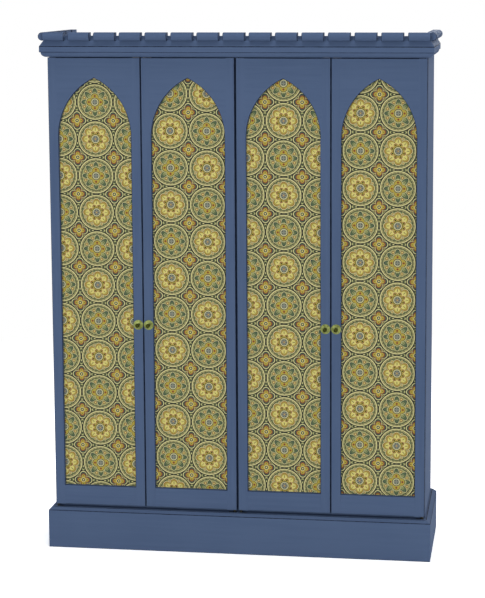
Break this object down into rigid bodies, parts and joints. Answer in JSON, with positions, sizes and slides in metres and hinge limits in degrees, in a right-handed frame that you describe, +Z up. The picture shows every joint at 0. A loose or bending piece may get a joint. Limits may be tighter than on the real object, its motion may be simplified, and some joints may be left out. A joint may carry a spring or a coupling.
{
  "type": "bookcase cabinet",
  "caption": "Tall shelved bookcase cabinet: hinged doors with pointed-arch fabric panels, a moulded plinth and a battlemented cornice.",
  "frame": {"origin": "on the floor, under the middle of the overall box", "axes": "+X to the right along the front, +Y from the front to the back, +Z up"},
  "size_m": [1.588, 0.49, 2.114],
  "materials": {
    "paint": "slate-blue satin paint over wood",
    "bare_board": "unpainted board, hidden behind the painted pieces",
    "fabric": "woven cloth in gold, sage, rust and grey-blue, stretched flat",
    "brass": "brushed, slightly aged brass",
    "dark_brass": "dark antique brass",
    "steel": "plated steel"
  },
  "bodies": {
    "carcass": {"side_left": "paint", "side_right": "paint", "partition": "paint", "top_board": "paint", "bottom_board": "paint", "back_panels": "paint", "shelves_left": "paint", "shelves_right": "paint", "shelf_pins": "steel", "plinth_front": "paint", "plinth_returns": "paint", "plinth_rails": "bare_board", "plinth_deck": "paint", "cornice_front": "paint", "cornice_returns": "paint", "parapet_boards": "paint", "merlon_blocks": "paint", "upper_pivots": "brass", "lower_pivots": "brass", "catches": "steel"},
    "door_1": {"door_1_hinge_stile": "paint", "door_1_lock_stile": "paint", "door_1_top_rail": "paint", "door_1_bottom_rail": "paint", "door_1_backing": "bare_board", "door_1_fabric": "fabric", "door_1_bushes": "brass", "door_1_rose": "brass", "door_1_knob": "dark_brass", "door_1_strike": "steel"},
    "door_2": {"door_2_hinge_stile": "paint", "door_2_lock_stile": "paint", "door_2_top_rail": "paint", "door_2_bottom_rail": "paint", "door_2_backing": "bare_board", "door_2_fabric": "fabric", "door_2_bushes": "brass", "door_2_rose": "brass", "door_2_knob": "dark_brass", "door_2_strike": "steel"},
    "door_3": {"door_3_hinge_stile": "paint", "door_3_lock_stile": "paint", "door_3_top_rail": "paint", "door_3_bottom_rail": "paint", "door_3_backing": "bare_board", "door_3_fabric": "fabric", "door_3_bushes": "brass", "door_3_rose": "brass", "door_3_knob": "dark_brass", "door_3_strike": "steel"},
    "door_4": {"door_4_hinge_stile": "paint", "door_4_lock_stile": "paint", "door_4_top_rail": "paint", "door_4_bottom_rail": "paint", "door_4_backing": "bare_board", "door_4_fabric": "fabric", "door_4_bushes": "brass", "door_4_rose": "brass", "door_4_knob": "dark_brass", "door_4_strike": "steel"}
  },
  "joints": [
    {"name": "door_1_swing", "type": "hinge", "parent": "carcass", "child": "door_1", "pos_m": [-0.749, -0.203, 1.096], "axis": [0, 0, -1], "range_deg": [0, 110]},
    {"name": "door_2_swing", "type": "hinge", "parent": "carcass", "child": "door_2", "pos_m": [-0.013, -0.203, 1.096], "axis": [0, 0, 1], "range_deg": [0, 85]},
    {"name": "door_3_swing", "type": "hinge", "parent": "carcass", "child": "door_3", "pos_m": [0.013, -0.203, 1.096], "axis": [0, 0, -1], "range_deg": [0, 85]},
    {"name": "door_4_swing", "type": "hinge", "parent": "carcass", "child": "door_4", "pos_m": [0.749, -0.203, 1.096], "axis": [0, 0, 1], "range_deg": [0, 110]}
  ]
}
